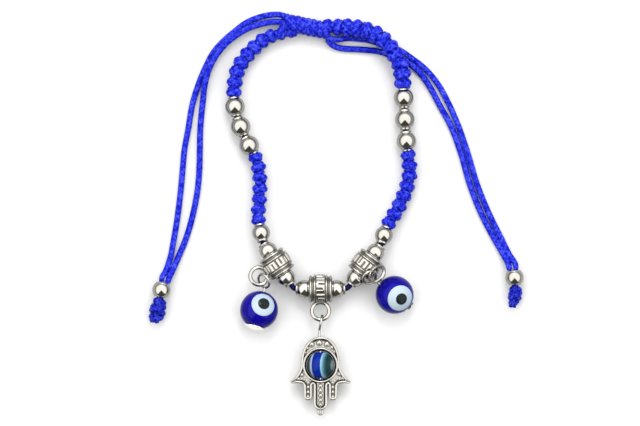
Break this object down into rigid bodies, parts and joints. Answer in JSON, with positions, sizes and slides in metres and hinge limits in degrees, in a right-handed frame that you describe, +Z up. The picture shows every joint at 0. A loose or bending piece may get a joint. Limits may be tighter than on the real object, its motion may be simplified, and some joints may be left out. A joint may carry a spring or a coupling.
{
  "type": "cord bracelet with eye charms",
  "caption": "Adjustable knotted cord bracelet lying flat, with round metal beads, key-pattern bails, swinging glass eye charms and a hand charm holding an eye bead.",
  "frame": {"origin": "on the table, under the middle of the box round the loop and the charms (tails left out)", "axes": "+Z up off the table, +Y from the charms towards the sliding knot, +X to the right seen from above"},
  "size_m": [0.0827, 0.0886, 0.0088],
  "materials": {
    "cord": "knotted satin cord",
    "silver": "polished silver plate",
    "antique_silver": "polished silver plate with dark antiqued recesses",
    "cobalt_glass": "glossy deep blue glass",
    "white_glass": "opaque pale glass",
    "black_glass": "opaque black glass",
    "resin": "glossy resin with rings of colour"
  },
  "bodies": {
    "loop": {"core_cord": "cord", "sliding_knot": "cord", "left_lower_band": "cord", "left_upper_band": "cord", "right_lower_band": "cord", "right_upper_band": "cord", "left_tail_upper": "cord", "left_tail_lower": "cord", "right_tail_upper": "cord", "right_tail_lower": "cord", "left_end_knot": "cord", "right_end_knot": "cord"},
    "left_shoulder_bead": {"left_shoulder_bead": "silver"},
    "left_bead_1": {"left_bead_1": "silver"},
    "left_bead_2": {"left_bead_2": "silver"},
    "left_bead_3": {"left_bead_3": "silver"},
    "left_end_bead": {"left_end_bead": "silver"},
    "right_shoulder_bead": {"right_shoulder_bead": "silver"},
    "right_bead_1": {"right_bead_1": "silver"},
    "right_bead_2": {"right_bead_2": "silver"},
    "right_bead_3": {"right_bead_3": "silver"},
    "right_end_bead": {"right_end_bead": "silver"},
    "left_bail": {"left_bail": "antique_silver"},
    "left_charm": {"left_head_pin": "silver"},
    "left_eye": {"left_eye_glass": "cobalt_glass", "left_eye_white": "white_glass", "left_eye_pupil": "black_glass"},
    "right_bail": {"right_bail": "antique_silver"},
    "right_charm": {"right_head_pin": "silver"},
    "right_eye": {"right_eye_glass": "cobalt_glass", "right_eye_white": "white_glass", "right_eye_pupil": "black_glass"},
    "centre_bail": {"centre_bail": "antique_silver"},
    "hamsa": {"hamsa_frame": "antique_silver", "hamsa_pin": "silver"},
    "hamsa_eye": {"hamsa_eye_bead": "resin"}
  },
  "joints": [
    {"name": "left_shoulder_bead_spin", "type": "hinge", "parent": "loop", "child": "left_shoulder_bead", "pos_m": [-0.01328, -0.00379, 0.00294], "axis": [-0.1789, 0.9701, -0.1638], "continuous": true},
    {"name": "left_bead_1_spin", "type": "hinge", "parent": "loop", "child": "left_bead_1", "pos_m": [-0.01592, 0.01543, 0.00221], "axis": [-0.4935, 0.8688, 0.0419], "continuous": true},
    {"name": "left_bead_2_spin", "type": "hinge", "parent": "loop", "child": "left_bead_2", "pos_m": [-0.01781, 0.01958, 0.00226], "axis": [-0.3551, 0.9348, -0.0013], "continuous": true},
    {"name": "left_bead_3_spin", "type": "hinge", "parent": "loop", "child": "left_bead_3", "pos_m": [-0.01904, 0.02396, 0.0022], "axis": [-0.1548, 0.9873, -0.0359], "continuous": true},
    {"name": "left_end_bead_spin", "type": "hinge", "parent": "loop", "child": "left_end_bead", "pos_m": [-0.03522, -0.01636, 0.0021], "axis": [-0.1903, -0.9817, 0], "continuous": true},
    {"name": "right_shoulder_bead_spin", "type": "hinge", "parent": "loop", "child": "right_shoulder_bead", "pos_m": [0.01373, -0.00431, 0.00294], "axis": [0.2973, 0.9404, -0.1653], "continuous": true},
    {"name": "right_bead_1_spin", "type": "hinge", "parent": "loop", "child": "right_bead_1", "pos_m": [0.01869, 0.01636, 0.00222], "axis": [-0.0942, 0.995, 0.0326], "continuous": true},
    {"name": "right_bead_2_spin", "type": "hinge", "parent": "loop", "child": "right_bead_2", "pos_m": [0.01834, 0.02112, 0.00225], "axis": [-0.0541, 0.9985, -0.0108], "continuous": true},
    {"name": "right_bead_3_spin", "type": "hinge", "parent": "loop", "child": "right_bead_3", "pos_m": [0.01809, 0.02588, 0.00231], "axis": [-0.0646, 0.9961, 0.0603], "continuous": true},
    {"name": "right_end_bead_spin", "type": "hinge", "parent": "loop", "child": "right_end_bead", "pos_m": [0.04248, -0.01366, 0.0021], "axis": [0.0499, -0.9988, 0], "continuous": true},
    {"name": "left_bail_turn", "type": "hinge", "parent": "loop", "child": "left_bail", "pos_m": [-0.00979, -0.01065, 0.00325], "axis": [-0.5593, 0.829, 0], "range_deg": [0, 60]},
    {"name": "left_charm_swing", "type": "hinge", "parent": "left_bail", "child": "left_charm", "pos_m": [-0.01243, -0.01469, 0.00403], "axis": [-0.7059, -0.6874, 0.171], "range_deg": [0, 40]},
    {"name": "left_eye_spin", "type": "hinge", "parent": "left_charm", "child": "left_eye", "pos_m": [-0.01371, -0.02076, 0.0042], "axis": [-0.2493, -0.9621, 0.1105], "continuous": true},
    {"name": "right_bail_turn", "type": "hinge", "parent": "loop", "child": "right_bail", "pos_m": [0.00969, -0.0109, 0.00325], "axis": [-0.6112, -0.7915, 0], "range_deg": [0, 60]},
    {"name": "right_charm_swing", "type": "hinge", "parent": "right_bail", "child": "right_charm", "pos_m": [0.01067, -0.01373, 0.00623], "axis": [0.1313, -0.7383, 0.6616], "range_deg": [0, 30]},
    {"name": "right_eye_spin", "type": "hinge", "parent": "right_charm", "child": "right_eye", "pos_m": [0.01606, -0.01743, 0.0042], "axis": [0.7945, -0.5633, -0.2271], "continuous": true},
    {"name": "centre_bail_turn", "type": "hinge", "parent": "loop", "child": "centre_bail", "pos_m": [-0.00022, -0.01616, 0.00325], "axis": [-1, 0, 0], "range_deg": [0, 60]},
    {"name": "hamsa_swing", "type": "hinge", "parent": "centre_bail", "child": "hamsa", "pos_m": [-0.00022, -0.02291, 0.00325], "axis": [-1, 0, 0], "range_deg": [0, 70]},
    {"name": "hamsa_eye_spin", "type": "hinge", "parent": "hamsa", "child": "hamsa_eye", "pos_m": [-0.00022, -0.03291, 0.00305], "axis": [0, -1, 0], "continuous": true}
  ]
}
